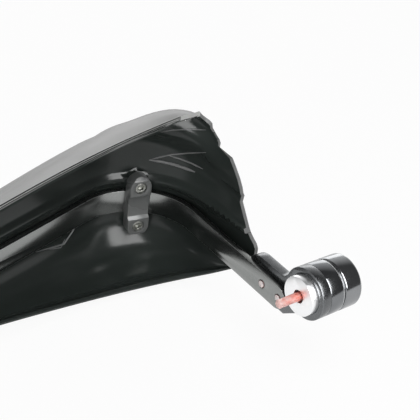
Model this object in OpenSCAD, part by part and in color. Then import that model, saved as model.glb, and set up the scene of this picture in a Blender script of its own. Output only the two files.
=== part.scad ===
// Motorcycle hand guard for the right-hand end of a handlebar.
// X points outboard along the handlebar, Y forward, Z up, in millimetres.
// The origin is on the handlebar's axis at the seat of the bar-end spacer.

/* [Bar-end weight] */
// Diameter of the eye and of both weight sections
weight_d = 36; // [32:1:40]
// Distance from the eye's inboard face to the groove
inner_len = 18.6; // [15:0.2:24]
// Length of the outer weight section
outer_len = 15.4; // [10:0.2:24]
// Rounding of the outer end
end_round = 2.4; // [0.5:0.1:3]
// Width of the bright chamfer on each side of the groove
groove_chamfer = 0.8; // [0.4:0.1:1.5]
// Depth of the groove between the sections
groove_depth = 1.2; // [0.6:0.1:2]
// Width of the groove between the sections
groove_w = 1.1; // [0.8:0.1:2]

/* [Spacer and bolt] */
// Outer diameter of the silver spacer
spacer_d = 27; // [24:0.5:30]
// Length of spacer that stands out of the eye
spacer_out = 5.5; // [3:0.5:9]
// Depth that the spacer is let into the eye
spacer_in = 3; // [2:0.5:4]
// Bore of the spacer
spacer_bore = 9; // [7:0.25:11]
// Thread diameter of the bar-end bolt
bolt_d = 6; // [5:0.5:8]
// Length of bolt that stands out past the spacer
bolt_out = 17; // [10:1:25]
// Diameter of the bolt's plain shank
shank_d = 5.35; // [4.5:0.05:7]

/* [Arm] */
// Thickness of the eye and the arm
arm_t = 7; // [6:0.5:9]
// Height of the arm
arm_h = 27.4; // [24:0.2:32]
// Reach of the arm forward of the handlebar's axis
arm_reach = 57; // [50:1:60]
// Radius of the hollow between the eye and the arm
arm_fillet = 7; // [4:0.5:12]
// Distance of the rear arm screw forward of the axis
screw_rear_y = 19; // [18:0.5:21]
// Distance between the two arm screws
screw_pitch = 17.2; // [15:0.2:20]
// Thread diameter of the arm screws
arm_screw_d = 6; // [5:0.5:6]

/* [Bar] */
// Width of the flat bar
bar_w = 18; // [16:1:20]
// Thickness of the flat bar
bar_t = 4; // [3:0.5:5]
// Distance of the bar's mid-plane below the handlebar's axis
bar_drop = 15.6; // [14:0.2:17]
// Distance of the bar's outboard end forward of the axis
bar_tail = 12.5; // [11:0.5:14]
// Forward end of the bar's straight tab, where the bend begins
tab_y = 118; // [110:1:124]
// Radius of the bend on the bar's inner face
bend_r = 46; // [40:1:52]
// Angle of the bend
bend_angle = 107; // [100:1:112]
// Length of the straight run after the bend
run_len = 160; // [150:1:170]
// Diameter of the hole in the inboard end
end_hole_d = 8.4; // [6:0.2:9]
// Distance of that hole from the inboard end
end_hole_in = 10; // [8:0.5:14]

/* [Bridge clamp] */
// Place of the clamp along the bend, as an angle from the outboard side
clamp_angle = 59; // [50:1:75]
// Length of the clamp across the bar
clamp_len = 50; // [46:1:54]
// Width of the clamp along the bar
clamp_w = 16; // [14:0.5:20]
// Distance between the clamp's screws
clamp_pitch = 33; // [31:0.5:36]
// Turn of the clamp from square to the bar, towards the mould's draw
clamp_turn = 20; // [0:1:25]
// Height of the clamp's middle pad
clamp_pad = 16; // [14:0.5:18]
// Thickness of the clamp's middle, over the bar
clamp_mid_t = 6.4; // [5:0.2:7.5]
// Thickness that the raised ends have over the middle
clamp_dome = 2.4; // [1:0.2:3.4]
// Thread diameter of the clamp's screws
clamp_screw_d = 5; // [4:0.5:5]
// Length of the clamp's screws below the head
clamp_screw_len = 8; // [7:0.5:9]
// Outer diameter of the brass inserts
insert_d = 7; // [6.5:0.5:8]
// Length of the brass inserts
insert_len = 5.4; // [4:0.2:5.6]
// Wall of the moulded posts round the inserts
post_wall = 3; // [2:0.25:3.5]

/* [Shell] */
// Wall thickness of the shell
wall = 2.8; // [2.2:0.1:3.4]
// Length of bar that stands out past the shell's inboard end
bar_bare = 26; // [20:1:34]
// Space between the bar and the shell's wall along the run
wall_gap = 0.8; // [0.5:0.1:2]
// Space between the bar and the shell's wall at the outboard edge
flare = 8; // [6:0.5:10]
// Height of the shell from its lower rim to its top rim
shell_h = 117.6; // [108:0.2:130]
// Height of the top rim above the handlebar's axis
rim_z = 63.6; // [56:0.2:70]
// Forward distance of the shell's top outboard corner
rim_y = 133; // [128:1:138]
// Depth of the visor behind the bar at the inboard end
visor = 44; // [36:1:50]
// Forward distance of the shell's lowest outboard corner
tail_y = 61; // [60:1:66]
// Height of the lowest outboard corner below the handlebar's axis
tail_z = 26; // [22:0.5:32]
// Forward distance of the outboard edge at the top of the wall
edge_y = 85; // [80:1:90]
// Height of the top of the wall at the outboard edge
wall_z = 26; // [22:0.5:30]
// Depth of the lower lip behind the bar
lower_in = 34; // [24:1:40]
// Height of the ledge above the handlebar's axis
ledge_z = 1.6; // [0:0.2:4]
// Reach of the ledge from the wall
ledge_t = 2.6; // [1.5:0.1:3.2]
// Height of each step between the scales
scale_step = 1.3; // [0.6:0.1:1.6]
// Bulge of the outboard edge below its top corner
corner_bulge = 3.6; // [1:0.2:5]
// Jump of the outboard edge at the middle scale
upper_notch = 8; // [3:0.2:9]
// Hollow of the outboard edge at the lower scale
lower_notch = 8; // [3:0.2:9]
// Height of the bead along the rims
bead = 1.0; // [0.6:0.1:1.4]

/* [Hidden] */
$fn = 64;
fit = 0.15;
eps = 0.01;
face_x = spacer_out;
lower_z = shell_h - rim_z;
weight_r = weight_d / 2;
groove_x = face_x + inner_len;
end_x = groove_x + outer_len;
bar_in_x = face_x - bar_t;
arm_low_z = -bar_drop - arm_h / 2 + 1.6;
arm_top_z = arm_low_z + arm_h;
arm_end_r = arm_h / 2;
screw_front_y = screw_rear_y + screw_pitch;
head_d = 10;
head_h = 6;
washer_d = 12;
washer_t = 1.6;
bolt_seat_x = end_x - head_h - washer_t - 0.4;
arm_head_d = 10;
arm_head_h = 3.4;
arm_seat_x = face_x + arm_t - arm_head_h - 0.2;
bend_cx = bar_in_x - bend_r;
bend_out_r = bend_r + bar_t;

// Unit vectors of the straight run: along it towards the inboard end, and
// out of its outer face.
run_dir = [-sin(bend_angle), cos(bend_angle)];
run_out = [cos(bend_angle), sin(bend_angle)];
bend_c = [bend_cx, tab_y];
bend_end = bend_c + bend_out_r * run_out;

// A point in plan on the bar's outer face, at distance s from the ring end
// of the tab and offset n outwards.
function bar_path(s, n) =
    s < tab_y ? [face_x + n, s] :
    s < tab_y + bend_len ? let(a = (s - tab_y) / bend_len * bend_angle)
        bend_c + (bend_out_r + n) * [cos(a), sin(a)] :
    bend_end + n * run_out + (s - tab_y - bend_len) * run_dir;
bend_len = bend_out_r * bend_angle * PI / 180;
path_len = tab_y + bend_len + run_len;

function smooth(t) = let(c = min(1, max(0, t))) c * c * (3 - 2 * c);
function mix(a, b, t) = a + (b - a) * t;

// Lays a shape, drawn in the YZ plane, at X and gives it a thickness.
module plate_at(x, t) {
    translate([x, 0, 0])
        rotate([90, 0, 90])
            linear_extrude(t)
                children();
}

// A round bar along X.
module rod(x0, x1, r) {
    translate([x0, 0, 0])
        rotate([0, 90, 0])
            cylinder(h = x1 - x0, r = r);
}

// Bar-end weight

module weight_inner() {
    color("DimGray")
        difference() {
            rotate([0, 90, 0])
                rotate_extrude()
                    polygon([
                        [0, face_x + arm_t],
                        [weight_r, face_x + arm_t],
                        [weight_r, groove_x - groove_chamfer],
                        [weight_r - groove_chamfer, groove_x],
                        [weight_r - groove_chamfer - groove_depth, groove_x],
                        [weight_r - groove_chamfer - groove_depth, groove_x + groove_w],
                        [0, groove_x + groove_w]
                    ]);
            rod(face_x + arm_t - 1, groove_x + groove_w + 1, bolt_d / 2 + 0.4);
        }
}

module weight_outer() {
    x0 = groove_x + groove_w;
    color("DimGray")
        difference() {
            rotate([0, 90, 0])
                rotate_extrude()
                    union() {
                        polygon([
                            [0, x0],
                            [weight_r - groove_chamfer, x0],
                            [weight_r, x0 + groove_chamfer],
                            [weight_r, end_x - end_round],
                            [weight_r - end_round, end_x - end_round],
                            [weight_r - end_round, end_x],
                            [0, end_x]
                        ]);
                        intersection() {
                            translate([weight_r - end_round, end_x - end_round])
                                circle(end_round);
                            translate([weight_r - end_round, end_x - end_round])
                                square(end_round);
                        }
                    }
            rod(x0 - 1, end_x, bolt_d / 2 + 0.4);
            rod(bolt_seat_x - washer_t, end_x + 1, washer_d / 2 + fit);
        }
}

module bar_end_washer() {
    color("Silver")
        difference() {
            rod(bolt_seat_x - washer_t, bolt_seat_x, washer_d / 2);
            rod(bolt_seat_x - washer_t - 1, bolt_seat_x + 1, bolt_d / 2 + 0.2);
        }
}

module bar_end_bolt() {
    color("Salmon")
        difference() {
            union() {
                rod(-bolt_out + 1, 0, bolt_d / 2);
                rod(-eps, bolt_seat_x + eps, shank_d / 2);
                translate([-bolt_out, 0, 0])
                    rotate([0, 90, 0])
                        cylinder(h = 1, r1 = bolt_d / 2 - 0.9, r2 = bolt_d / 2);
                rod(bolt_seat_x, bolt_seat_x + head_h, head_d / 2);
            }
            translate([bolt_seat_x + head_h - 3, 0, 0])
                rotate([0, 90, 0])
                    cylinder(h = 4, r = 5 / sqrt(3), $fn = 6);
        }
}

module bar_end_spacer() {
    color("Gainsboro")
        difference() {
            rod(0, face_x + spacer_in, spacer_d / 2);
            rod(-1, face_x + spacer_in + 1, spacer_bore / 2);
        }
}

// Arm with its eye

// The outline of the arm in Y and Z: the eye, the stadium, the straight
// edges between them and the hollow where they meet.
module arm_outline() {
    end_y = arm_reach - arm_end_r;
    mid_z = (arm_low_z + arm_top_z) / 2;
    heel_y = 15.5;
    hollow_y = sqrt(pow(weight_r + arm_fillet, 2) - pow(arm_top_z + arm_fillet, 2));
    difference() {
        union() {
            circle(weight_r);
            translate([end_y, mid_z])
                circle(arm_end_r);
            polygon([
                [0, 0],
                [weight_r * sin(8), -weight_r * cos(8)],
                [heel_y, arm_low_z],
                [end_y, arm_low_z],
                [end_y, arm_top_z],
                [0, arm_top_z]
            ]);
            polygon([
                [0, arm_top_z - eps],
                [hollow_y, arm_top_z - eps],
                [hollow_y, arm_top_z],
                [hollow_y * weight_r / (weight_r + arm_fillet),
                    (arm_top_z + arm_fillet) * weight_r / (weight_r + arm_fillet)],
                [0, arm_top_z + 2]
            ]);
            polygon([
                [0, 0],
                [hollow_y, 0],
                [hollow_y, arm_top_z + arm_fillet],
                [0, 0]
            ]);
        }
        translate([hollow_y, arm_top_z + arm_fillet])
            circle(arm_fillet);
    }
}

module weight_arm() {
    color("SlateGray")
        difference() {
            plate_at(face_x, arm_t)
                arm_outline();
            rod(face_x - 1, face_x + spacer_in, spacer_d / 2 + fit);
            rod(face_x - 1, face_x + arm_t + 1, bolt_d / 2 + 0.4);
            for (y = [screw_rear_y, screw_front_y])
                translate([0, y, -bar_drop]) {
                    rod(face_x - 1, face_x + arm_t + 1, arm_screw_d / 2 + 0.2);
                    rod(arm_seat_x, face_x + arm_t + 1, arm_head_d / 2 + 0.2);
                }
        }
}

module arm_screw(y) {
    translate([0, y, -bar_drop])
        color("White")
            difference() {
                union() {
                    rod(bar_in_x - 0.3, arm_seat_x + eps, arm_screw_d / 2);
                    rod(arm_seat_x, arm_seat_x + arm_head_h, arm_head_d / 2);
                }
                translate([arm_seat_x + arm_head_h - 2, 0, 0])
                    rotate([0, 90, 0])
                        cylinder(h = 3, r = 4 / sqrt(3), $fn = 6);
            }
}

module arm_screw_front() {
    arm_screw(screw_front_y);
}

module arm_screw_rear() {
    arm_screw(screw_rear_y);
}

// Bent bar

// A pointed key in plan that joins a straight plate of the bar to its bend.
// It starts from y = 0 and points along Y into the bend.
module bend_key() {
    translate([0, 0, -bar_w / 2])
        linear_extrude(bar_w)
            polygon([
                [0, -bar_t],
                [bar_t, -bar_t],
                [bar_t, 0],
                [bar_t / 2, bar_t / 2],
                [0, 0]
            ]);
}

module backbone_bar() {
    color("Gray")
        difference() {
            union() {
                translate([bar_in_x, 0, -bar_drop])
                    rotate([90, 0, 90])
                        linear_extrude(bar_t)
                            union() {
                                translate([bar_tail + bar_w / 2, 0])
                                    circle(bar_w / 2);
                                translate([bar_tail + bar_w / 2, -bar_w / 2])
                                    square([tab_y - bar_tail - bar_w / 2, bar_w]);
                            }
                translate([bar_in_x, tab_y, -bar_drop])
                    bend_key();
                translate([bend_cx, tab_y, -bar_drop - bar_w / 2])
                    rotate_extrude(angle = bend_angle)
                        translate([bend_r, 0])
                            square([bar_t, bar_w]);
                translate([bend_cx, tab_y, -bar_drop])
                    rotate([0, 0, bend_angle])
                        translate([bend_r, 0, 0]) {
                            rotate([90, 0, 90])
                                linear_extrude(bar_t)
                                    union() {
                                        translate([0, -bar_w / 2])
                                            square([run_len - bar_w / 2, bar_w]);
                                        translate([run_len - bar_w / 2, 0])
                                            circle(bar_w / 2);
                                    }
                            mirror([0, 1, 0])
                                bend_key();
                        }
            }
            for (y = [screw_rear_y, screw_front_y])
                translate([0, y, -bar_drop])
                    rod(bar_in_x - 1, face_x + 1, arm_screw_d / 2 + 0.1);
            translate([bend_cx, tab_y, -bar_drop])
                rotate([0, 0, bend_angle])
                    translate([0, run_len - end_hole_in, 0])
                        rod(bend_r - 1, bend_out_r + 1, end_hole_d / 2);
        }
}

// Bridge clamp and its fasteners

clamp_end_r = clamp_w / 2;
clamp_face_r = bend_r - clamp_mid_t;
clamp_top_r = clamp_face_r - clamp_dome;
clamp_foot_r = bend_r + 0.6;
clamp_head_d = 8.5;
clamp_head_h = 5;
clamp_seat_r = clamp_top_r + clamp_head_h + 0.4;

// Places children on the bend at the clamp: X runs out along the radius,
// Y along the bar and Z up, with the bar's mid-plane at Z = 0.
module at_clamp() {
    translate([bend_cx, tab_y, -bar_drop])
        rotate([0, 0, clamp_angle])
            translate([bend_r, 0, 0])
                rotate([0, 0, clamp_turn])
                    translate([-bend_r, 0, 0])
                        children();
}

// The clamp's outline across the bar, with round ends.
module clamp_outline(grow = 0) {
    for (side = [-1, 1])
        translate([0, side * (clamp_len / 2 - clamp_end_r)])
            circle(clamp_end_r + grow);
    square([2 * (clamp_end_r + grow), clamp_len - 2 * clamp_end_r], center = true);
}

// The clamp seen from its flank, as depth and height: the raised ends, the
// slopes down to the middle pad and the tongue that reaches the bar.
module clamp_side() {
    half = clamp_len / 2;
    upper = [
        [clamp_face_r, clamp_pad / 2],
        [clamp_top_r, clamp_pad / 2 + clamp_dome * 0.8],
        [clamp_top_r, half - clamp_dome],
        [clamp_top_r + clamp_dome, half],
        [clamp_foot_r, half],
        [clamp_foot_r, bar_w / 2],
        [clamp_foot_r + 3, bar_w / 2]
    ];
    lower = [for (i = [len(upper) - 1:-1:0]) [upper[i].x, -upper[i].y]];
    polygon(concat(upper, lower));
}

module bridge_clamp() {
    color("Black")
        difference() {
            at_clamp()
                difference() {
                    intersection() {
                        translate([clamp_top_r - 1, 0, 0])
                            rotate([90, 0, 90])
                                linear_extrude(clamp_foot_r + 5 - clamp_top_r)
                                    clamp_outline();
                        rotate([90, 0, 0])
                            linear_extrude(2 * clamp_w, center = true)
                                clamp_side();
                    }
                    for (side = [-1, 1])
                        translate([0, 0, side * clamp_pitch / 2]) {
                            rod(clamp_seat_r - 1, clamp_foot_r + 1, clamp_screw_d / 2 + 0.2);
                            rod(clamp_top_r - 1, clamp_seat_r, clamp_head_d / 2 + 0.3);
                        }
                }
            translate([bend_cx, tab_y, -bar_drop - bar_w / 2 - fit])
                difference() {
                    cylinder(h = bar_w + 2 * fit, r = bend_out_r + 20);
                    translate([0, 0, -1])
                        cylinder(h = bar_w + 2, r = bend_r, $fn = 128);
                }
        }
}

module bridge_screw(side) {
    at_clamp()
        translate([0, 0, side * clamp_pitch / 2])
            color("DarkGray")
                difference() {
                    union() {
                        rod(clamp_seat_r - clamp_head_h, clamp_seat_r, clamp_head_d / 2);
                        rod(clamp_seat_r - eps, clamp_seat_r + clamp_screw_len, clamp_screw_d / 2);
                    }
                    translate([clamp_seat_r - clamp_head_h - 1, 0, 0])
                        rotate([0, 90, 0])
                            cylinder(h = 3.5, r = 4 / sqrt(3), $fn = 6);
                }
}

module bridge_screw_upper() {
    bridge_screw(1);
}

module bridge_screw_lower() {
    bridge_screw(-1);
}

module insert(side) {
    at_clamp()
        translate([0, 0, side * clamp_pitch / 2])
            color("Goldenrod")
                difference() {
                    rod(clamp_foot_r, clamp_foot_r + insert_len, insert_d / 2);
                    rod(clamp_foot_r - 1, clamp_foot_r + insert_len + 1, clamp_screw_d / 2 + 0.05);
                }
}

module insert_upper() {
    insert(1);
}

module insert_lower() {
    insert(-1);
}

// Moulded shell

shell_end = path_len - bar_bare;
run_tip = bend_end + (shell_end - tab_y - bend_len) * run_dir;
top_corner = [face_x + 3.6, rim_y];
top_end = run_tip - visor * run_out;
low_corner = [face_x + flare, tail_y + 6];
low_end = run_tip - (lower_in - 12) * run_out;

// Share of the shell's length at which the lower rim is lowest.
low_t = 0.56;

// Rails of the shell, each a curve from the outboard edge at t = 0 to the
// inboard end at t = 1, on the inner surface.
function at_corner(t) = 1 - smooth(t / 0.12);
function flare_at(t) = mix(flare, wall_gap, smooth(t / 0.36));
function rail_top(t) =
    let(p = mix(top_corner, top_end, t) + [0, 3.2 * sin(180 * t)])
    [p.x, p.y, rim_z + 1.5 * sin(180 * t) - 2 * t - 2 * at_corner(t)];
function rail_brow(t) =
    let(
        k = 3.2 * at_corner(t),
        p = bar_path(mix(rim_y - 8, shell_end, t) + k, mix(flare + 1, -11, smooth(t / 0.27)) + k)
    )
    [p.x, p.y, mix(rim_z - 7.6, rim_z - 17, smooth(t / 0.5)) - k - 14 * pow(max(0, t / 0.55 - 0.82), 1.5)];
function rail_visor(t) =
    mix(rail_top(t), rail_brow(t), 0.5) + [0, 0, 2.5 - 2.5 * at_corner(t)];
function rail_wall(t) =
    let(p = bar_path(mix(edge_y, shell_end, t), flare_at(t) + wall))
    [p.x, p.y, mix(wall_z, wall_z + 6, smooth(t / 0.3)) - 6 * smooth((t - 0.55) / 0.45)];
function rail_ledge(t) =
    let(p = bar_path(mix(tail_y + 9, shell_end, t), flare_at(t)))
    [p.x, p.y, ledge_z];
function rail_under(t) =
    let(p = bar_path(mix(tail_y, shell_end, t), flare_at(t)))
    [p.x, p.y, mix(-7, -bar_drop - clamp_pitch / 2, smooth(t / 0.25))];
function rail_low(t) =
    let(
        c1 = [face_x - 4, tab_y - 8],
        c2 = [bend_cx + 4, tab_y + 6],
        p = low_corner * pow(1 - t, 3) + 3 * c1 * pow(1 - t, 2) * t
            + 3 * c2 * (1 - t) * t * t + low_end * t * t * t
    )
    [p.x, p.y, mix(-lower_z, -tail_z, pow(t / low_t - 1, 2))];
function rail_belly(t) =
    let(a = rail_under(t), b = rail_low(t), reach = norm([a.x - b.x, a.y - b.y]))
    [mix(a.x, b.x, 0.3), mix(a.y, b.y, 0.3), mix(a.z, b.z, 0.6) - 0.15 * reach];

function section(t) = [rail_top(t), rail_visor(t), rail_brow(t), rail_wall(t),
    rail_ledge(t), rail_under(t), rail_belly(t), rail_low(t)];

// A smooth curve through the points of a section, with v from 0 at the top
// rim to its last index at the lower rim. The limit holds a tangent to that
// many times the length of its span, so a short span doesn't overshoot.
function curve_point(p, v, limit) =
    let(
        n = len(p) - 1,
        i = min(n - 1, max(0, floor(v))),
        f = v - i,
        b = p[i],
        c = p[i + 1],
        a = i > 0 ? p[i - 1] : 2 * b - c,
        d = i < n - 1 ? p[i + 2] : 2 * c - b,
        span = limit * norm(c - b),
        m1 = (c - a) / 2 * min(1, span / norm(c - a) * 2),
        m2 = (d - b) / 2 * min(1, span / norm(d - b) * 2)
    )
    (2 * f * f * f - 3 * f * f + 1) * b + (f * f * f - 2 * f * f + f) * m1
        + (3 * f * f - 2 * f * f * f) * c + (f * f * f - f * f) * m2;

// Lines that the mesh follows, as v at the outboard edge and v at the tip
// of the arrowhead scale, where the two lower lines run together.
tip_t = 0.3;
line_1 = [2.1, 2.25];
line_2 = [2.43, 3.3];
line_3 = [3.16, 3.46];
line_w = 0.04;
ledge_v = 4;
ledge_w = 0.14;
low_v = 7;

function line_at(l, t) = mix(l[0], l[1], smooth(t / tip_t));

// Shift of the outboard edge along the shell, by v: outboard is negative.
edge_line = [
    [0.5, 0],
    [1.2, -corner_bulge / 2],
    [1.7, -corner_bulge],
    [line_1[0] + line_w, -0.6],
    [2.3, -1.2],
    [line_2[0] - line_w, 2.2],
    [line_2[0] + line_w, -upper_notch],
    [2.8, -2],
    [3, 1.8],
    [line_3[0] - line_w, 3],
    [3.38, lower_notch],
    [3.8, 2.2],
    [ledge_v, 0.8],
    [4.7, -0.6],
    [low_v, 0]
];

// Rows of the mesh from the top rim to the lower rim. Each row gives v and
// the offset of the inner and outer faces.
function fade(t) = 1 - smooth(t / tip_t);
function rows(t) =
    let(
        v1 = line_at(line_1, t),
        v2 = line_at(line_2, t),
        v3 = line_at(line_3, t),
        s = scale_step * fade(t),
        w = line_w,
        a = ledge_v - ledge_w / 2,
        b = ledge_v + ledge_w / 2,
        b0 = bead * smooth(t / 0.1),
        thin = -wall / 2
    )
    concat(
        [[0, 0, 0], [0.06, 0, 0], [0.09, -b0, 0], [0.2, -b0, 0], [0.23, 0, 0]],
        [for (k = [1:5]) [mix(0.23, v1 - w, k / 6), 0, 0]],
        [[v1 - w, 0, 0], [v1 + w, s, s]],
        [for (k = [1:3]) [mix(v1 + w, v2 - w, k / 4), s * (1 - k / 4), s * (1 - k / 4)]],
        [[v2 - w, 0, 0], [v2 + w, -s, -s]],
        [for (k = [1:3]) [mix(v2 + w, v3 - w, k / 4), -s, -s]],
        [[v3 - w, -s, -s], [v3 + w, 0, 0]],
        [for (k = [1:3]) [mix(v3 + w, a, k / 4), 0, 0]],
        [[a - 0.03, 0, 0], [a, -ledge_t, 0], [b, -ledge_t, 0], [b + 0.03, 0, 0]],
        [for (k = [1:3]) [mix(b + 0.03, 5, k / 3), 0, 0]],
        [for (k = [1:7]) [mix(5, low_v - 0.12, k / 7), 0, 0]],
        [[low_v - 0.1, -bead, 0], [low_v - 0.04, -bead, thin], [low_v - 0.02, 0, thin], [low_v, 0, thin]]
    );

stations = 38;
function station(i) = let(t = i / stations) t * (0.72 + 0.28 * t);
edge_rows = rows(0);
row_count = len(edge_rows);

// Where a mesh point lies on the curved sheet before any offset.
function sheet(i, j) =
    let(
        t = station(i),
        row = rows(t)[j],
        shift = pow(1 - t, 5) * lookup(edge_rows[j][0], edge_line) / (shell_end - tail_y)
    )
    curve_point(section(t + shift), row[0], 1.1 + 8 * (1 - at_corner(t)));

// Direction in which the wall is thickened: square to the sheet, and one
// shared direction at the top corner, where the sheet turns sharply.
corner_out = [0.38, 0.45, 0.81];
function normal(g, i, j) =
    let(
        a = g[max(0, i - 1)][j],
        b = g[min(stations, i + 1)][j],
        c = g[i][max(0, j - 1)],
        d = g[i][min(row_count - 1, j + 1)],
        n = cross(d - c, b - a),
        w = at_corner(station(i)) * (1 - smooth(edge_rows[j][0] / 2.5)),
        m = mix(n / norm(n), corner_out, w)
    )
    m / norm(m);

// Two triangles that fill a quad, whose corners run round it.
function quad(a, b, c, d) = [[a, b, c], [a, c, d]];

module shell_skin() {
    base = [for (i = [0:stations]) [for (j = [0:row_count - 1]) sheet(i, j)]];
    nrm = [for (i = [0:stations]) [for (j = [0:row_count - 1]) normal(base, i, j)]];
    offs = [for (i = [0:stations]) rows(station(i))];
    inner = [for (i = [0:stations]) for (j = [0:row_count - 1])
        base[i][j] + nrm[i][j] * offs[i][j][1]];
    outer = [for (i = [0:stations]) for (j = [0:row_count - 1])
        base[i][j] + nrm[i][j] * (offs[i][j][2] + wall)];
    n = row_count;
    last = stations * n;
    o = (stations + 1) * n;
    faces_in = [for (i = [0:stations - 1]) for (j = [0:n - 2]) let(k = i * n + j)
        each quad(k, k + 1, k + n + 1, k + n)];
    faces_out = [for (i = [0:stations - 1]) for (j = [0:n - 2]) let(k = o + i * n + j)
        each quad(k, k + n, k + n + 1, k + 1)];
    rim_top = [for (i = [0:stations - 1]) let(k = i * n)
        each quad(k, k + n, o + k + n, o + k)];
    rim_low = [for (i = [0:stations - 1]) let(k = i * n + n - 1)
        each quad(k, o + k, o + k + n, k + n)];
    edge_out = [for (j = [0:n - 2]) each quad(j, o + j, o + j + 1, j + 1)];
    edge_in = [for (j = [0:n - 2]) let(k = last + j)
        each quad(k, k + 1, o + k + 1, o + k)];
    polyhedron(
        points = concat(inner, outer),
        faces = concat(faces_in, faces_out, rim_top, rim_low, edge_out, edge_in)
    );
}

// The posts that carry the clamp, above and below the bar.
module clamp_posts() {
    post_r = insert_d / 2 + post_wall;
    intersection() {
        at_clamp()
            for (side = [-1, 1])
                translate([0, 0, side * clamp_pitch / 2])
                    rod(clamp_foot_r - 0.5, bend_out_r + 3 * wall, post_r);
        translate([bend_cx, tab_y, -bar_drop - clamp_len])
            cylinder(h = 2 * clamp_len, r = bend_out_r + wall_gap + wall * 0.7, $fn = 128);
    }
}

module guard_shell() {
    color("DarkSlateGray")
        difference() {
            union() {
                shell_skin();
                clamp_posts();
            }
            at_clamp() {
                translate([clamp_face_r, 0, 0])
                    rotate([90, 0, 90])
                        linear_extrude(clamp_foot_r - clamp_face_r)
                            clamp_outline(fit);
                for (side = [-1, 1])
                    translate([0, 0, side * clamp_pitch / 2])
                        rod(clamp_foot_r - 1, clamp_foot_r + insert_len, insert_d / 2);
            }
        }
}

guard_shell();
backbone_bar();
bridge_clamp();
bridge_screw_upper();
bridge_screw_lower();
insert_upper();
insert_lower();
weight_arm();
arm_screw_front();
arm_screw_rear();
bar_end_spacer();
weight_inner();
weight_outer();
bar_end_bolt();
bar_end_washer();
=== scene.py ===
"""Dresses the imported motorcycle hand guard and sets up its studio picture.

Lengths are in metres in the part's own frame: the origin is on the handlebar's
axis at the seat of the bar-end spacer, X points outboard, Y forward and Z up.
"""

import logging
import math
from dataclasses import dataclass
from enum import Enum

import bmesh
import bpy
from mathutils import Matrix, Vector
from mathutils.bvhtree import BVHTree


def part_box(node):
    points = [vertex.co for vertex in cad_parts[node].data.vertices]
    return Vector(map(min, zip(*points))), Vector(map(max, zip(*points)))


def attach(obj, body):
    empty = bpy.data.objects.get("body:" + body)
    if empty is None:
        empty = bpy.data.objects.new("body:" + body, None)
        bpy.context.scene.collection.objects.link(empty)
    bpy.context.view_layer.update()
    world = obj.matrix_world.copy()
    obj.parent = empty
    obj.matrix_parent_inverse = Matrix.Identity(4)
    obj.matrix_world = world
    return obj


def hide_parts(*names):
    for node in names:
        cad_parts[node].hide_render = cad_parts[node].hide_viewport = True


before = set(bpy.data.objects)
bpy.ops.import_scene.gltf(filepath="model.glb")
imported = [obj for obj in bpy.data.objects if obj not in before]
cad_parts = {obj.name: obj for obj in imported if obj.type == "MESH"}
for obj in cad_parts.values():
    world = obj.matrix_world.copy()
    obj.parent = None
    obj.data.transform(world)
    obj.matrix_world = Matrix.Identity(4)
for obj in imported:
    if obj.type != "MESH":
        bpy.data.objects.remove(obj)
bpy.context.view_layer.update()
log = logging.getLogger("hand_guard")

Colour = tuple[float, float, float]
Point = tuple[float, float, float]
Pixel = tuple[float, float]

# Pixels across the photograph and down it, and millimetres across the camera's sensor
PHOTO_SIZE = 420.0
SENSOR_WIDTH = 36.0

# Corners of a CAD node this near in metres are one, and faces this near in degrees are one flat face
MERGE_GAP = 0.000002
FLAT_ANGLE = 0.6

# Edges sharper than this in degrees are rounded, with this many faces across the rounding
ROUND_ANGLE = 35.0
ROUND_FACES = 2

# Edges sharper than this in degrees stay sharp in the shading
SHARP_ANGLE = 32.0

# A noise pattern mostly lies between these two factors, which take a finish's low and high value
PATTERN_LOW = 0.3
PATTERN_HIGH = 0.7

# Metres from ring to ring of a wave pattern at a scale of 1
RING_SPACING = 0.314

WHITE = (1.0, 1.0, 1.0)


class Slot(Enum):
    """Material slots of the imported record."""

    SHELL = "shell_plastic"
    BAR = "bar_metal"
    CLAMP = "clamp_black"
    SCREW = "screw_black"
    INSERT = "insert_brass"
    ARM = "arm_black"
    SCREW_STEEL = "screw_steel"
    SPACER = "spacer_silver"
    WEIGHT = "weight_black"
    BOLT = "bolt_coated"


class ShellFace(Enum):
    """Kinds of face on the shell, numbered in the order of its materials."""

    INNER = 0
    OUTER = 1
    # The edge and rim-line faces take pale finishes that are painted highlights.
    EDGE = 2
    RIM_HIGHLIGHT = 3


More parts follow.
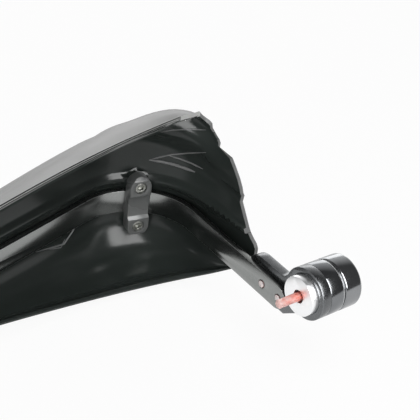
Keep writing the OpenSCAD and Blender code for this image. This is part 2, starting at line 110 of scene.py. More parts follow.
class Graph:
    """A tree of nodes, with short calls that add and join them."""

    def __init__(self, tree: bpy.types.NodeTree) -> None:
        """Empties the tree.

        Args:
            tree: Tree that the nodes go into.
        """
        self.tree = tree
        self.tree.nodes.clear()

    def add(self, kind: str, **settings: object) -> bpy.types.Node:
        """Adds a node.

        Args:
            kind: Blender's identifier of the node type.
            settings: Properties to set on the node.

        Returns:
            The new node.
        """
        node = self.tree.nodes.new(kind)
        for key, value in settings.items():
            setattr(node, key, value)
        return node

    def join(self, source: bpy.types.NodeSocket, target: bpy.types.NodeSocket) -> None:
        """Links an output socket to an input socket."""
        self.tree.links.new(source, target)

    def map_range(
        self, value: bpy.types.NodeSocket, source: tuple[float, float], target: tuple[float, float]
    ) -> bpy.types.NodeSocket:
        """Maps a value from one range onto another.

        Args:
            value: Value to map.
            source: Low and high end of the range that it comes from.
            target: Low and high end of the range that it goes onto.

        Returns:
            The mapped value.
        """
        node = self.add("ShaderNodeMapRange")
        ends = {"From Min": source[0], "From Max": source[1], "To Min": target[0], "To Max": target[1]}
        for name, end in ends.items():
            node.inputs[name].default_value = end
        self.join(value, node.inputs["Value"])
        return node.outputs["Result"]

    def ramp(
        self, factor: bpy.types.NodeSocket, places: tuple[float, float], colours: tuple[Colour, Colour]
    ) -> bpy.types.NodeSocket:
        """Turns a factor into a colour between two.

        Args:
            factor: Factor from 0 to 1.
            places: Factors at which the first and the second colour are reached.
            colours: The two colours.

        Returns:
            The colour output.
        """
        node = self.add("ShaderNodeValToRGB")
        for element, place, colour in zip(node.color_ramp.elements, places, colours):
            element.position = place
            element.color = (*colour, 1.0)
        self.join(factor, node.inputs["Fac"])
        return node.outputs["Color"]

    def mix(
        self, share: bpy.types.NodeSocket, first: bpy.types.NodeSocket, second: bpy.types.NodeSocket
    ) -> bpy.types.NodeSocket:
        """Mixes two shaders.

        Args:
            share: Share of the second shader.
            first: The first shader.
            second: The second shader.

        Returns:
            The shader output.
        """
        node = self.add("ShaderNodeMixShader")
        self.join(share, node.inputs["Fac"])
        self.join(first, node.inputs[1])
        self.join(second, node.inputs[2])
        return node.outputs["Shader"]


class MaterialGraph(Graph):
    """The nodes of a new material that has one shader."""

    def __init__(self, name: str) -> None:
        """Starts a material with a shader and an output.

        Args:
            name: Name of the material.
        """
        self.material = bpy.data.materials.new(name)
        self.material.use_nodes = True
        super().__init__(self.material.node_tree)
        self.output = self.add("ShaderNodeOutputMaterial")
        self.shader = self.add("ShaderNodeBsdfPrincipled")
        self.join(self.shader.outputs["BSDF"], self.output.inputs["Surface"])

    def place(self, stretch: float = 1.0) -> bpy.types.NodeSocket:
        """Adds Object coordinates.

        Args:
            stretch: Scale of the coordinates.

        Returns:
            The vector output.
        """
        coords = self.add("ShaderNodeTexCoord")
        mapping = self.add("ShaderNodeMapping")
        mapping.inputs["Scale"].default_value = (stretch, stretch, stretch)
        self.join(coords.outputs["Object"], mapping.inputs["Vector"])
        return mapping.outputs["Vector"]

    def noise(self, where: bpy.types.NodeSocket, scale: float, detail: float) -> bpy.types.NodeSocket:
        """Adds a noise pattern.

        Args:
            where: Vector that the noise is read at.
            scale: Scale of the noise.
            detail: Octaves of the noise.

        Returns:
            The factor output.
        """
        node = self.add("ShaderNodeTexNoise")
        node.inputs["Scale"].default_value = scale
        node.inputs["Detail"].default_value = detail
        self.join(where, node.inputs["Vector"])
        return node.outputs["Fac"]

    def spread(self, pattern: bpy.types.NodeSocket, low: float, high: float) -> bpy.types.NodeSocket:
        """Maps a pattern onto a range.

        Args:
            pattern: Factor of the pattern.
            low: Result where the pattern is low.
            high: Result where the pattern is high.

        Returns:
            The mapped value.
        """
        return self.map_range(pattern, (PATTERN_LOW, PATTERN_HIGH), (low, high))

    def paint(self, pattern: bpy.types.NodeSocket, low: Colour, high: Colour) -> None:
        """Colours the surface by a pattern.

        Args:
            pattern: Factor of the pattern.
            low: Colour where the pattern is low.
            high: Colour where the pattern is high.
        """
        colour = self.ramp(pattern, (PATTERN_LOW, PATTERN_HIGH), (low, high))
        self.join(colour, self.shader.inputs["Base Color"])

    def bump(self, height: bpy.types.NodeSocket, depth: float, strength: float) -> None:
        """Roughens the surface.

        Args:
            height: Height pattern from 0 to 1.
            depth: Height in metres of a full step of the pattern.
            strength: Strength of the effect.
        """
        node = self.add("ShaderNodeBump")
        node.inputs["Distance"].default_value = depth
        node.inputs["Strength"].default_value = strength
        self.join(height, node.inputs["Height"])
        self.join(node.outputs["Normal"], self.shader.inputs["Normal"])


@dataclass(frozen=True)
class Finish:
    """A finish whose colour and roughness both follow one pattern."""

    name: str
    dark: Colour
    pale: Colour
    rough_low: float
    rough_high: float

    def tone(self, graph: MaterialGraph, pattern: bpy.types.NodeSocket) -> None:
        """Joins the finish's colours and roughness to a pattern.

        Args:
            graph: The material's nodes.
            pattern: Factor of the pattern.
        """
        graph.paint(pattern, self.dark, self.pale)
        roughness = graph.spread(pattern, self.rough_low, self.rough_high)
        graph.join(roughness, graph.shader.inputs["Roughness"])


@dataclass(frozen=True)
class MouldedPlastic(Finish):
    """Smooth injection-moulded plastic with faint flow marks and pores."""

    pore_scale: float = 1400.0
    pore_depth: float = 0.00003
    sheen: float = 0.5
    pore_detail: float = 2.0
    pore_strength: float = 0.25
    flow_scale: float = 22.0
    flow_detail: float = 4.0

    def build(self) -> bpy.types.Material:
        """Makes the material.

        Returns:
            The finished material.
        """
        graph = MaterialGraph(self.name)
        where = graph.place()
        self.tone(graph, graph.noise(where, self.flow_scale, self.flow_detail))
        graph.shader.inputs["Specular IOR Level"].default_value = self.sheen
        pores = graph.noise(where, self.pore_scale, self.pore_detail)
        graph.bump(pores, self.pore_depth, self.pore_strength)
        return graph.material


@dataclass(frozen=True)
class DyedMetal(Finish):
    """Anodised or plated metal with fine, even tool marks."""

    mark_depth: float = 0.00002
    mark_stretch: float = 12.0
    mark_scale: float = 40.0
    mark_detail: float = 2.0
    mark_strength: float = 0.15

    def build(self) -> bpy.types.Material:
        """Makes the material.

        Returns:
            The finished material.
        """
        graph = MaterialGraph(self.name)
        graph.shader.inputs["Metallic"].default_value = 1.0
        marks = graph.noise(graph.place(self.mark_stretch), self.mark_scale, self.mark_detail)
        self.tone(graph, marks)
        graph.bump(marks, self.mark_depth, self.mark_strength)
        return graph.material


@dataclass(frozen=True)
class TurnedMetal(Finish):
    """Metal turned on a lathe, with soft rings about the handlebar's axis."""

    ring_pitch: float = 0.003
    ring_waver: float = 0.2
    ring_depth: float = 0.000005
    ring_strength: float = 0.12
    stain_scale: float = 90.0
    stain_detail: float = 3.0

    def build(self) -> bpy.types.Material:
        """Makes the material.

        Returns:
            The finished material.
        """
        graph = MaterialGraph(self.name)
        graph.shader.inputs["Metallic"].default_value = 1.0
        where = graph.place()
        rings = graph.add("ShaderNodeTexWave", wave_type="RINGS", rings_direction="X", wave_profile="SIN")
        rings.inputs["Scale"].default_value = RING_SPACING / self.ring_pitch
        rings.inputs["Distortion"].default_value = self.ring_waver
        graph.join(where, rings.inputs["Vector"])
        self.tone(graph, graph.noise(where, self.stain_scale, self.stain_detail))
        graph.bump(rings.outputs["Fac"], self.ring_depth, self.ring_strength)
        return graph.material


@dataclass(frozen=True)
class ThreadLock:
    """Dried thread-locking coat, worn pale towards the tip, with darker and paler flecks."""

    name: str
    coat: Colour
    worn: Colour
    tip_x: float
    root_x: float
    tip_share: float = 0.2
    root_share: float = 0.6
    fleck_scale: float = 420.0
    fleck_detail: float = 4.0
    fleck_low: float = -0.1
    fleck_high: float = 0.25
    fleck_depth: float = 0.00008
    fleck_strength: float = 0.5
    roughness: float = 0.42

    def build(self) -> bpy.types.Material:
        """Makes the material.

        Returns:
            The finished material.
        """
        graph = MaterialGraph(self.name)
        where = graph.place()
        axes = graph.add("ShaderNodeSeparateXYZ")
        graph.join(where, axes.inputs["Vector"])
        shares = (self.tip_share, self.root_share)
        fade = graph.map_range(axes.outputs["X"], (self.tip_x, self.root_x), shares)
        flecks = graph.noise(where, self.fleck_scale, self.fleck_detail)
        share = graph.add("ShaderNodeMath", operation="ADD")
        graph.join(fade, share.inputs[0])
        graph.join(graph.spread(flecks, self.fleck_low, self.fleck_high), share.inputs[1])
        graph.paint(share.outputs["Value"], self.worn, self.coat)
        graph.shader.inputs["Roughness"].default_value = self.roughness
        graph.bump(flecks, self.fleck_depth, self.fleck_strength)
        return graph.material


@dataclass(frozen=True)
class Finishes:
    """Every finish of the hand guard."""

    shell: MouldedPlastic = MouldedPlastic(
        "shell_plastic", (0.024, 0.029, 0.0268), (0.03, 0.036, 0.0332), 0.15, 0.19, 1400.0, 0.00001, 0.3
    )
    # Outer face: a rougher satin of the same plastic, its paler colour partly a painted sheen.
    shell_satin_sheen: MouldedPlastic = MouldedPlastic(
        "shell_satin_sheen", (0.062, 0.064, 0.061), (0.07, 0.072, 0.069), 0.38, 0.44, 2600.0, 0.00004, 0.85
    )
    # Pale grey on the black plastic: a painted highlight for the outboard edge, the rim's beads and the
    # ridges.
    shell_edge_highlight: MouldedPlastic = MouldedPlastic(
        "shell_edge_highlight", (0.15, 0.153, 0.152), (0.19, 0.193, 0.192), 0.4, 0.5, 1800.0
    )
    # Paler still: a painted highlight on the rim's beads and its outboard end.
    rim_highlight: MouldedPlastic = MouldedPlastic(
        "rim_highlight", (0.44, 0.445, 0.435), (0.52, 0.525, 0.515), 0.3, 0.4, 1800.0
    )
    bar: DyedMetal = DyedMetal(
        "bar_satin", (0.26, 0.268, 0.262), (0.28, 0.288, 0.282), 0.2, 0.24, 0.000002
    )
    # Paler rounded edges of the bar: a painted edge highlight.
    bar_edge_highlight: DyedMetal = DyedMetal(
        "bar_edge_highlight", (0.34, 0.345, 0.34), (0.42, 0.425, 0.42), 0.26, 0.34, 0.000002
    )
    clamp: MouldedPlastic = MouldedPlastic(
        "clamp_enamel", (0.11, 0.115, 0.113), (0.13, 0.135, 0.133), 0.24, 0.32, 900.0, sheen=0.6
    )
    screw: DyedMetal = DyedMetal(
        "screw_oxide", (0.16, 0.165, 0.15), (0.4, 0.405, 0.38), 0.2, 0.3
    )
    insert: TurnedMetal = TurnedMetal(
        "insert_brass", (0.62, 0.42, 0.16), (0.78, 0.57, 0.25), 0.25, 0.4
    )
    arm: DyedMetal = DyedMetal(
        "arm_anodised", (0.14, 0.145, 0.15), (0.16, 0.165, 0.17), 0.24, 0.3, 0.000003
    )
    # Paler rounded edges of the arm: a painted edge highlight.
    arm_edge_highlight: DyedMetal = DyedMetal(
        "arm_edge_highlight", (0.17, 0.177, 0.185), (0.21, 0.217, 0.225), 0.3, 0.38, 0.000004
    )
    arm_screw: ThreadLock = ThreadLock(
        "arm_screw_lock", (0.86, 0.5, 0.46), (0.92, 0.84, 0.83), 0.001, 0.012
    )
    # Dark rounded rim of the screw tips: painted shade of the hole walls round them.
    arm_screw_shaded_rim: DyedMetal = DyedMetal(
        "arm_screw_shaded_rim", (0.1, 0.07, 0.065), (0.2, 0.12, 0.11), 0.3, 0.4
    )
    spacer: TurnedMetal = TurnedMetal(
        "spacer_turned", (0.93, 0.94, 0.95), (0.98, 0.98, 0.985), 0.3, 0.36
    )
    weight: TurnedMetal = TurnedMetal(
        "weight_anodised", (0.19, 0.197, 0.205), (0.22, 0.227, 0.235), 0.13, 0.17
    )
    weight_end: TurnedMetal = TurnedMetal(
        "weight_end_anodised", (0.25, 0.257, 0.265), (0.29, 0.297, 0.305), 0.13, 0.17
    )
    # Pale rounded edge at the drums' groove: a painted highlight.
    groove_edge_highlight: TurnedMetal = TurnedMetal(
        "groove_edge_highlight", (0.7, 0.71, 0.72), (0.8, 0.8, 0.8), 0.3, 0.4
    )
    bolt: ThreadLock = ThreadLock(
        "bolt_thread_lock", (0.86, 0.22, 0.16), (0.93, 0.62, 0.58), -0.017, 0.0
    )
    washer: TurnedMetal = TurnedMetal(
        "washer_zinc", (0.6, 0.61, 0.63), (0.75, 0.76, 0.78), 0.25, 0.35
    )


FINISHES = Finishes()


def show(
    bm: bmesh.types.BMesh, name: str, materials: list[bpy.types.Material], sharp: float = SHARP_ANGLE
) -> bpy.types.Object:
    """Turns a bmesh into a piece of the scene, shaded smooth between its sharp edges.

    Args:
        bm: The finished shape, which is freed.
        name: Name of the piece.
        materials: Materials in the order of the faces' indices.
        sharp: Angle in degrees above which an edge stays sharp.

    Returns:
        The new object at the origin.
    """
    mesh = bpy.data.meshes.new(name)
    bm.to_mesh(mesh)
    bm.free()
    for polygon in mesh.polygons:
        polygon.use_smooth = True
    mesh.set_sharp_from_angle(angle=math.radians(sharp))
    for material in materials:
        mesh.materials.append(material)
    piece = bpy.data.objects.new(name, mesh)
    bpy.context.scene.collection.objects.link(piece)
    return piece


def merged_copy(node: str, flatten: bool = True) -> bmesh.types.BMesh:
    """Copies a CAD node's triangles into a bmesh and joins them up.

    Args:
        node: Name of the CAD node.
        flatten: Whether the triangles of a flat face become one face.

    Returns:
        The joined bmesh.
    """
    bm = bmesh.new()
    bm.from_mesh(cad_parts[node].data)
    bmesh.ops.remove_doubles(bm, verts=bm.verts, dist=MERGE_GAP)
    if flatten:
        bmesh.ops.dissolve_limit(bm, angle_limit=math.radians(FLAT_ANGLE), verts=bm.verts, edges=bm.edges)
    return bm


def break_edges(bm: bmesh.types.BMesh, width: float, rim_material: int) -> None:
    """Rounds the sharp edges of a shape.

    Args:
        bm: The shape.
        width: Width of the rounding in metres.
        rim_material: Index of the finish that the rounded faces take.
    """
    limit = math.radians(ROUND_ANGLE)
    edges = [edge for edge in bm.edges if edge.is_manifold and abs(edge.calc_face_angle_signed()) > limit]
    rounded = bmesh.ops.bevel(
        bm,
        geom=edges,
        offset=width,
        offset_type="OFFSET",
        affect="EDGES",
        segments=ROUND_FACES,
        profile=0.5,
        clamp_overlap=True,
        material=-1,
    )
    for face in rounded["faces"]:
        face.material_index = rim_material


def finish_piece(piece: bpy.types.Object, slot: Slot, *nodes: str) -> None:
    """Makes a piece ride on the part and stand for CAD nodes.

    Args:
        piece: The finished piece.
        slot: The record's slot; not used.
        nodes: CAD nodes that it stands for, if any.
    """
    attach(piece, "root")
    if nodes:
        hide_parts(*nodes)
    log.info("%s: %d faces", piece.name, len(piece.data.polygons))


def dress(node: str, name: str, slot: Slot, width: float, *materials: bpy.types.Material) -> None:
    """Copies one CAD node, rounds its edges and gives it a finish.

    Args:
        node: CAD node that the piece stands for.
        name: Name of the piece.
        slot: Slot of the record.
        width: Width of the rounding in metres.
        materials: Finish of the piece, and that of its rounded edges where it differs.
    """
    bm = merged_copy(node)
    break_edges(bm, width, len(materials) - 1)
    finish_piece(show(bm, name, list(materials)), slot, node)


@dataclass(frozen=True)
class Ridge:
    """A thin moulded ridge: its radius in metres and its corners as pixels of the photograph."""

    radius: float
    corners: tuple[Pixel, ...]

    def line(self, steps: int) -> list[Pixel]:
        """Divides the ridge's line into short steps.

        Args:
            steps: Number of steps from one corner to the next.

        Returns:
            The pixels along the line.
        """
        pixels = []
        for (x0, y0), (x1, y1) in zip(self.corners, self.corners[1:]):
            for step in range(steps):
                share = step / steps
                pixels.append((x0 + (x1 - x0) * share, y0 + (y1 - y0) * share))
        return pixels + [self.corners[-1]]


RIDGES = (
    Ridge(0.0006, ((36.0, 252.0), (64.0, 244.0), (72.0, 232.0), (76.0, 224.0))),
    Ridge(0.0003, ((49.0, 249.5), (61.0, 247.5), (65.0, 239.0))),
    Ridge(0.0006, ((149.0, 160.0), (160.0, 157.0), (172.0, 154.5), (188.0, 153.0), (206.0, 152.5))),
    Ridge(0.0011, ((149.0, 160.0), (160.0, 161.3), (174.0, 164.5), (186.0, 168.5), (195.0, 172.0))),
    Ridge(0.0006, ((168.0, 155.3), (180.0, 158.8), (192.0, 163.5), (203.0, 169.0))),
    Ridge(0.0004, ((160.0, 132.0), (172.0, 130.0), (186.0, 129.3), (206.0, 130.0))),
)


@dataclass
class MouldedShell:
    """The plastic shell that stands round the hand.

    The fields that end in facing, turn, tilt or outward are parts of a face's normal. They tell
    the rim, the outboard edge and the outer face from the inner wall. The outboard edge, the rim's
    beads and the ridges take pale finishes that are painted highlights, and the outer face's paler
    satin is partly a painted sheen. The grip is the line that the outer face looks away from.
    ridge_rise and ridge_tip are shares of a ridge's radius: how far its middle stands off the wall,
    and how thick it is at its ends. Angles are in degrees.
    """

    sharp_angle: float = 28.0
    grip_y: float = 0.02
    grip_z: float = 0.0
    grip_end_x: float = -0.03
    outward: float = 0.25
    edge_x: float = 0.011
    edge_facing: float = -0.5
    edge_turn: float = -0.3
    rim_z: float = 0.055
    rim_end_x: float = -0.006
    rim_facing: float = -0.78
    rim_tilt: float = 0.15
    wall_tilt: float = 0.1
    lip_drop: float = 0.0019
    lip_push: float = 0.0004
    lip_fade: float = 0.02
    groove_margin: float = 0.0008
    groove_depth: float = 0.0006
    bead_width: float = 0.0011
    ridge_steps: int = 8
    ridge_rise: float = 0.1
    ridge_tip: float = 0.25
    ridge_growth: float = 4.0
    ridge_sharp: float = 60.0

    def on_rim(self, face: bmesh.types.BMFace) -> bool:
        """Tells whether a face lies on the visor's rim and faces back to the hand."""
        return face.normal.y < self.rim_facing and face.calc_center_median().z > self.rim_z

    def sort_faces(self, bm: bmesh.types.BMesh) -> None:
        """Gives the outer face, the outboard edge and the rim's outboard end their own finishes: pale
        painted highlights on the edge and the rim's end, and a satin on the outer face that is partly a
        painted sheen.

        Args:
            bm: The shell.
        """
        for face in bm.faces:
            middle = face.calc_center_median()
            past_grip = max(0.0, middle.x - self.grip_end_x)
            away = Vector((past_grip, middle.y - self.grip_y, middle.z - self.grip_z)).normalized()
            reach_x = max(vert.co.x for vert in face.verts)
            normal = face.normal
            kind = ShellFace.INNER
            if middle.x > self.edge_x and normal.y < self.edge_facing and normal.x > self.edge_turn:
                kind = ShellFace.EDGE
            elif reach_x > self.rim_end_x and self.on_rim(face):
                kind = ShellFace.RIM_HIGHLIGHT if normal.z > self.rim_tilt else ShellFace.INNER
            elif normal.dot(away) > self.outward:
                kind = ShellFace.OUTER
            face.material_index = kind.value

    def groove_rim(self, bm: bmesh.types.BMesh) -> None:
        """Lowers the top rim's lip and runs a shallow groove along it, between two beads whose pale
        finishes paint highlights.

        Args:
            bm: The shell.
        """
        band = [
            face for face in bm.faces
            if self.on_rim(face)
            and face.normal.z > self.rim_tilt
            and max(vert.co.x for vert in face.verts) < self.rim_end_x
        ]
        inside = set(band)
        lower = set()
        for face in band:
            for edge in face.edges:
                others = [other for other in edge.link_faces if other not in inside]
                if others and others[0].normal.z < self.wall_tilt:
                    lower.update(edge.verts)
        for vert in lower:
            share = min(1.0, max(0.0, (self.rim_end_x - vert.co.x) / self.lip_fade))
            vert.co += Vector((0.0, self.lip_push, -self.lip_drop)) * share
        bmesh.ops.inset_region(bm, faces=band, thickness=self.groove_margin, depth=0.0)
        beads = bmesh.ops.inset_region(bm, faces=band, thickness=self.bead_width, depth=0.0)["faces"]
        sunk = {vert for face in band for vert in face.verts}
        bmesh.ops.translate(bm, verts=list(sunk), vec=(0.0, self.groove_depth, 0.0))
        bm.normal_update()
        for face in beads:
            kind = ShellFace.EDGE if face.normal.z > self.rim_tilt else ShellFace.RIM_HIGHLIGHT
            face.material_index = kind.value
        log.info("rim: %d faces in the groove", len(band))

    def raise_ridges(self, tree: BVHTree, studio: "Studio") -> bpy.types.Object:
        """Lays thin moulded ridges on the inner wall, where the photograph shows them.

        Args:
            tree: The shell's faces.
            studio: The studio whose camera the pixels belong to.

        Returns:
            The ridges as one piece.
        """
        curve = bpy.data.curves.new("moulded_ridges", "CURVE")
        curve.dimensions = "3D"
        curve.bevel_depth = 1.0
        curve.bevel_resolution = 2
        curve.use_fill_caps = True
        for ridge in RIDGES:
            pixels = ridge.line(self.ridge_steps)
            last = len(pixels) - 1
            spline = curve.splines.new("POLY")
            spline.points.add(last)
            for number, pixel in enumerate(pixels):
                place, normal, _, _ = tree.ray_cast(Vector(studio.eye), studio.sight(pixel))
                from_end = min(number, last - number) / last
                point = spline.points[number]
                point.co = (*(place + normal * ridge.radius * self.ridge_rise), 1.0)
                point.radius = ridge.radius * min(1.0, self.ridge_tip + self.ridge_growth * from_end)
        holder = bpy.data.objects.new("moulded_ridges_curve", curve)
        mesh = bpy.data.meshes.new_from_object(holder)
        bpy.data.objects.remove(holder)
        bm = bmesh.new()
        bm.from_mesh(mesh)
        # The ridges' pale finish is a painted highlight.
        return show(bm, "moulded_ridges", [FINISHES.shell_edge_highlight.build()], self.ridge_sharp)

    def build(self, studio: "Studio") -> None:
        """Makes the shell over its CAD node, and the ridges on it.

        Args:
            studio: The studio whose camera places the ridges.
        """
        bm = merged_copy("guard_shell", flatten=False)
        tree = BVHTree.FromBMesh(bm)
        self.sort_faces(bm)
        self.groove_rim(bm)
        # The outer face's satin is partly a painted sheen; the edge and rim-line finishes paint
        # highlights.
        finishes = (FINISHES.shell, FINISHES.shell_satin_sheen, FINISHES.shell_edge_highlight, FINISHES.rim_highlight)
        piece = show(bm, "moulded_shell", [finish.build() for finish in finishes], self.sharp_angle)
        finish_piece(piece, Slot.SHELL, "guard_shell")
        finish_piece(self.raise_ridges(tree, studio), Slot.SHELL)


@dataclass
class Backbone:
    """The bent flat bar that carries the shell."""

    edge_break: float = 0.0005

    def build(self) -> None:
        """Makes the bar with its broken edges."""
        bar = FINISHES.bar.build()
        # The paler edge finish is a painted highlight.
        edge = FINISHES.bar_edge_highlight.build()
        dress("backbone_bar", "bent_bar", Slot.BAR, self.edge_break, bar, edge)


@dataclass
class ClampSet:
    """The bridge clamp with its two screws and their brass inserts."""

    edge_break: float = 0.0006
    screw_break: float = 0.00025

    def build(self) -> None:
        """Makes the clamp, the screws and the inserts."""
        dress("bridge_clamp", "clamp_body", Slot.CLAMP, self.edge_break, FINISHES.clamp.build())
        oxide = FINISHES.screw.build()
        brass = FINISHES.insert.build()
        for side in ("upper", "lower"):
            dress(f"bridge_screw_{side}", f"clamp_screw_{side}", Slot.SCREW, self.screw_break, oxide)
            dress(f"insert_{side}", f"brass_insert_{side}", Slot.INSERT, self.screw_break, brass)


@dataclass
class WeightSet:
    """The arm with its eye, the bar-end weight, the spacer and the bolt.

    thread_depth is a share of the bolt's radius, and thread_sharp is in degrees.
    """

    arm_break: float = 0.0007
    weight_break: float = 0.0004
    screw_break: float = 0.0003
    tip_break: float = 0.0006
    thread_length: float = 0.0155
    thread_pitch: float = 0.001
    thread_depth: float = 0.08
    thread_sharp: float = 50.0

    def build_arm(self) -> None:
        """Makes the arm and the two screws that hold the bar on it."""
        arm = FINISHES.arm.build()
        # The paler edge finish is a painted highlight.
        edge = FINISHES.arm_edge_highlight.build()
        dress("weight_arm", "arm_and_eye", Slot.ARM, self.arm_break, arm, edge)
        lock = FINISHES.arm_screw.build()
        # The dark rim finish is painted shade.
        rim = FINISHES.arm_screw_shaded_rim.build()
        for end in ("front", "rear"):
            dress(f"arm_screw_{end}", f"arm_bolt_{end}", Slot.SCREW_STEEL, self.tip_break, lock, rim)

    def build_inner_drum(self) -> None:
        """Makes the weight's inner section, with a pale painted highlight on its edge where it meets the
        outer one.
        """
        groove_highlight = FINISHES.groove_edge_highlight.build()
        anodised = FINISHES.weight.build()
        bm = merged_copy("weight_inner")
        break_edges(bm, self.weight_break, rim_material=1)
        low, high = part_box("weight_inner")
        for face in bm.faces:
            if face.calc_center_median().x < (low[0] + high[0]) / 2:
                face.material_index = 0
        finish_piece(show(bm, "weight_drum_inner", [anodised, groove_highlight]), Slot.WEIGHT, "weight_inner")

    def build_bolt(self) -> None:
        """Cuts the thread into the end of the bolt that stands out of the spacer."""
        bm = merged_copy("bar_end_bolt")
        break_edges(bm, self.screw_break, rim_material=0)
        turns = int(self.thread_length / self.thread_pitch)
        valleys: list[bmesh.types.BMVert] = []
        for half in range(2 * turns):
            place = (-self.thread_length + half * self.thread_pitch / 2, 0.0, 0.0)
            everything = bm.verts[:] + bm.edges[:] + bm.faces[:]
            cut = bmesh.ops.bisect_plane(bm, geom=everything, plane_co=place, plane_no=(1.0, 0.0, 0.0))
            if half % 2:
                valleys += [part for part in cut["geom_cut"] if isinstance(part, bmesh.types.BMVert)]
        for vert in valleys:
            vert.co.yz = vert.co.yz * (1.0 - self.thread_depth)
        piece = show(bm, "coated_bolt", [FINISHES.bolt.build()], self.thread_sharp)
        finish_piece(piece, Slot.BOLT, "bar_end_bolt")

    def build(self) -> None:
        """Makes every piece of the set."""
        self.build_arm()
        self.build_inner_drum()
        drum = FINISHES.weight_end.build()
        dress("weight_outer", "weight_drum_outer", Slot.WEIGHT, self.weight_break, drum)
        silver = FINISHES.spacer.build()
        dress("bar_end_spacer", "turned_spacer", Slot.SPACER, self.screw_break, silver)
        self.build_bolt()
        zinc = FINISHES.washer.build()
        dress("bar_end_washer", "zinc_washer", Slot.SCREW_STEEL, self.screw_break, zinc)


@dataclass(frozen=True)
class Softbox:
    """A lamp out of the camera's sight, whose radiance is its face's brightness, where 1 is white."""

    name: str
    place: Point
    size: tuple[float, float]
    radiance: float
    in_gloss: bool = True
    in_diffuse: bool = True

    def hang(self, target: Vector) -> None:
        """Hangs the lamp.

        Args:
            target: Point that it faces.
        """
        data = bpy.data.lights.new(self.name, "AREA")
        data.shape = "RECTANGLE"
        data.size, data.size_y = self.size
        data.energy = self.radiance * math.pi * self.size[0] * self.size[1]
        lamp = bpy.data.objects.new(self.name, data)
        lamp.visible_camera = False
        lamp.visible_glossy = self.in_gloss
        lamp.visible_diffuse = self.in_diffuse
        place = Vector(self.place)
        turn = (target - place).to_track_quat("-Z", "Y").to_matrix().to_4x4()
        lamp.matrix_world = Matrix.Translation(place) @ turn
        bpy.context.scene.collection.objects.link(lamp)


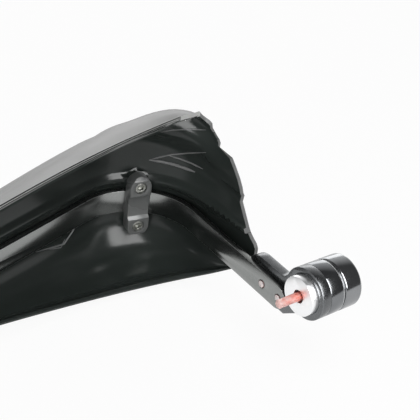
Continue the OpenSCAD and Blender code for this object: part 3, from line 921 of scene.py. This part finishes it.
@dataclass
class Studio:
    """Floor, lamps, world and camera.

    The camera is given by its place, the directions to its right and up, and its focal length in
    millimetres. bright_side points to the lit side of the room, and room_fade gives how far round
    to it the room's tone starts to rise and is white, where 0 is the dark side and 1 the lit one.
    """

    eye: Point = (-0.38532, -0.35853, 0.40312)
    right: Point = (0.8042, -0.5840, 0.1107)
    up: Point = (0.2524, 0.5041, 0.8259)
    lens: float = 88.92
    near_clip: float = 0.01
    floor_z: float = -0.062
    floor_size: float = 6.0
    floor_tone: Colour = (0.9, 0.9, 0.9)
    floor_roughness: float = 0.9
    floor_glow: float = 0.93
    bright_side: Point = (0.45, 0.85, -0.3)
    room_tone: Colour = (0.12, 0.12, 0.122)
    room_fade: tuple[float, float] = (0.55, 0.85)
    paper_tone: Colour = (0.98, 0.98, 0.98)
    middle: Point = (-0.05, 0.1, 0.0)
    lamps: tuple[Softbox, ...] = (
        Softbox("top_softbox", (-0.1, -0.35, 1.15), (0.9, 0.9), 3.6, in_gloss=False),
        Softbox("top_sheet", (-0.1, -0.35, 1.15), (0.9, 0.9), 1.3, in_diffuse=False),
        Softbox("rear_softbox", (0.47, 1.2, 0.2), (1.8, 0.5), 1.75),
        Softbox("front_fill", (-1.1, -0.8, 0.3), (0.9, 0.9), 2.4, in_gloss=False),
        Softbox("sheen_card", (-0.16, -0.82, 0.75), (1.0, 1.25), 9.0, in_diffuse=False),
    )

    def sight(self, pixel: Pixel) -> Vector:
        """Finds the direction in which the camera sees a pixel.

        Args:
            pixel: Pixel of the photograph.

        Returns:
            The direction, of length 1.
        """
        focal = self.lens / SENSOR_WIDTH * PHOTO_SIZE
        right = Vector(self.right)
        up = Vector(self.up)
        ahead = up.cross(right).normalized()
        across = right * (pixel[0] - PHOTO_SIZE / 2) / focal
        down = up * (pixel[1] - PHOTO_SIZE / 2) / focal
        return (ahead + across - down).normalized()

    def set_camera(self) -> None:
        """Stands the camera where the photograph was taken from."""
        data = bpy.data.cameras.new("photo_camera")
        data.lens = self.lens
        data.sensor_width = SENSOR_WIDTH
        data.clip_start = self.near_clip
        data.dof.use_dof = False
        camera = bpy.data.objects.new("photo_camera", data)
        right = Vector(self.right).normalized()
        back = right.cross(Vector(self.up)).normalized()
        up = back.cross(right)
        turn = Matrix((right, up, back)).transposed().to_4x4()
        camera.matrix_world = Matrix.Translation(Vector(self.eye)) @ turn
        bpy.context.scene.collection.objects.link(camera)
        bpy.context.scene.camera = camera

    def lay_floor(self) -> None:
        """Lays the pale floor, which looks nearly white to the camera and in reflections."""
        bm = bmesh.new()
        bmesh.ops.create_grid(bm, x_segments=1, y_segments=1, size=self.floor_size / 2)
        bmesh.ops.translate(bm, verts=bm.verts, vec=(0.0, 0.0, self.floor_z))
        graph = MaterialGraph("floor_paper")
        graph.shader.inputs["Base Color"].default_value = (*self.floor_tone, 1.0)
        graph.shader.inputs["Roughness"].default_value = self.floor_roughness
        glow = graph.add("ShaderNodeEmission")
        glow.inputs["Color"].default_value = (*WHITE, 1.0)
        glow.inputs["Strength"].default_value = 1.0
        path = graph.add("ShaderNodeLightPath")
        seen = graph.add("ShaderNodeMath", operation="MAXIMUM")
        graph.join(path.outputs["Is Camera Ray"], seen.inputs[0])
        graph.join(path.outputs["Is Glossy Ray"], seen.inputs[1])
        share = graph.add("ShaderNodeMath", operation="MULTIPLY")
        share.inputs[1].default_value = self.floor_glow
        graph.join(seen.outputs["Value"], share.inputs[0])
        mixed = graph.mix(share.outputs["Value"], graph.shader.outputs["BSDF"], glow.outputs["Emission"])
        graph.join(mixed, graph.output.inputs["Surface"])
        show(bm, "studio_floor", [graph.material])

    def light_world(self) -> None:
        """Lights the room from ahead of the camera, dark behind it, and shows it white to the camera."""
        world = bpy.data.worlds.new("studio_room")
        bpy.context.scene.world = world
        world.use_nodes = True
        graph = Graph(world.node_tree)
        coords = graph.add("ShaderNodeTexCoord")
        facing = graph.add("ShaderNodeVectorMath", operation="DOT_PRODUCT")
        facing.inputs[1].default_value = self.bright_side
        graph.join(coords.outputs["Generated"], facing.inputs[0])
        ahead = graph.map_range(facing.outputs["Value"], (-1.0, 1.0), (0.0, 1.0))
        room = graph.add("ShaderNodeBackground")
        graph.join(graph.ramp(ahead, self.room_fade, (self.room_tone, WHITE)), room.inputs["Color"])
        paper = graph.add("ShaderNodeBackground")
        paper.inputs["Color"].default_value = (*self.paper_tone, 1.0)
        path = graph.add("ShaderNodeLightPath")
        mixed = graph.mix(
            path.outputs["Is Camera Ray"], room.outputs["Background"], paper.outputs["Background"]
        )
        output = graph.add("ShaderNodeOutputWorld")
        graph.join(mixed, output.inputs["Surface"])

    def build(self) -> None:
        """Sets up the whole studio."""
        bpy.context.scene.view_settings.view_transform = "Standard"
        self.set_camera()
        self.lay_floor()
        self.light_world()
        for lamp in self.lamps:
            lamp.hang(Vector(self.middle))
        log.info("studio: camera at %s, %d lamps", self.eye, len(self.lamps))


def main() -> None:
    """Builds the studio and every piece in order."""
    logging.basicConfig(level=logging.INFO, format="%(name)s: %(message)s")
    studio = Studio()
    studio.build()
    MouldedShell().build(studio)
    Backbone().build()
    ClampSet().build()
    WeightSet().build()


if __name__ == "__main__":
    main()
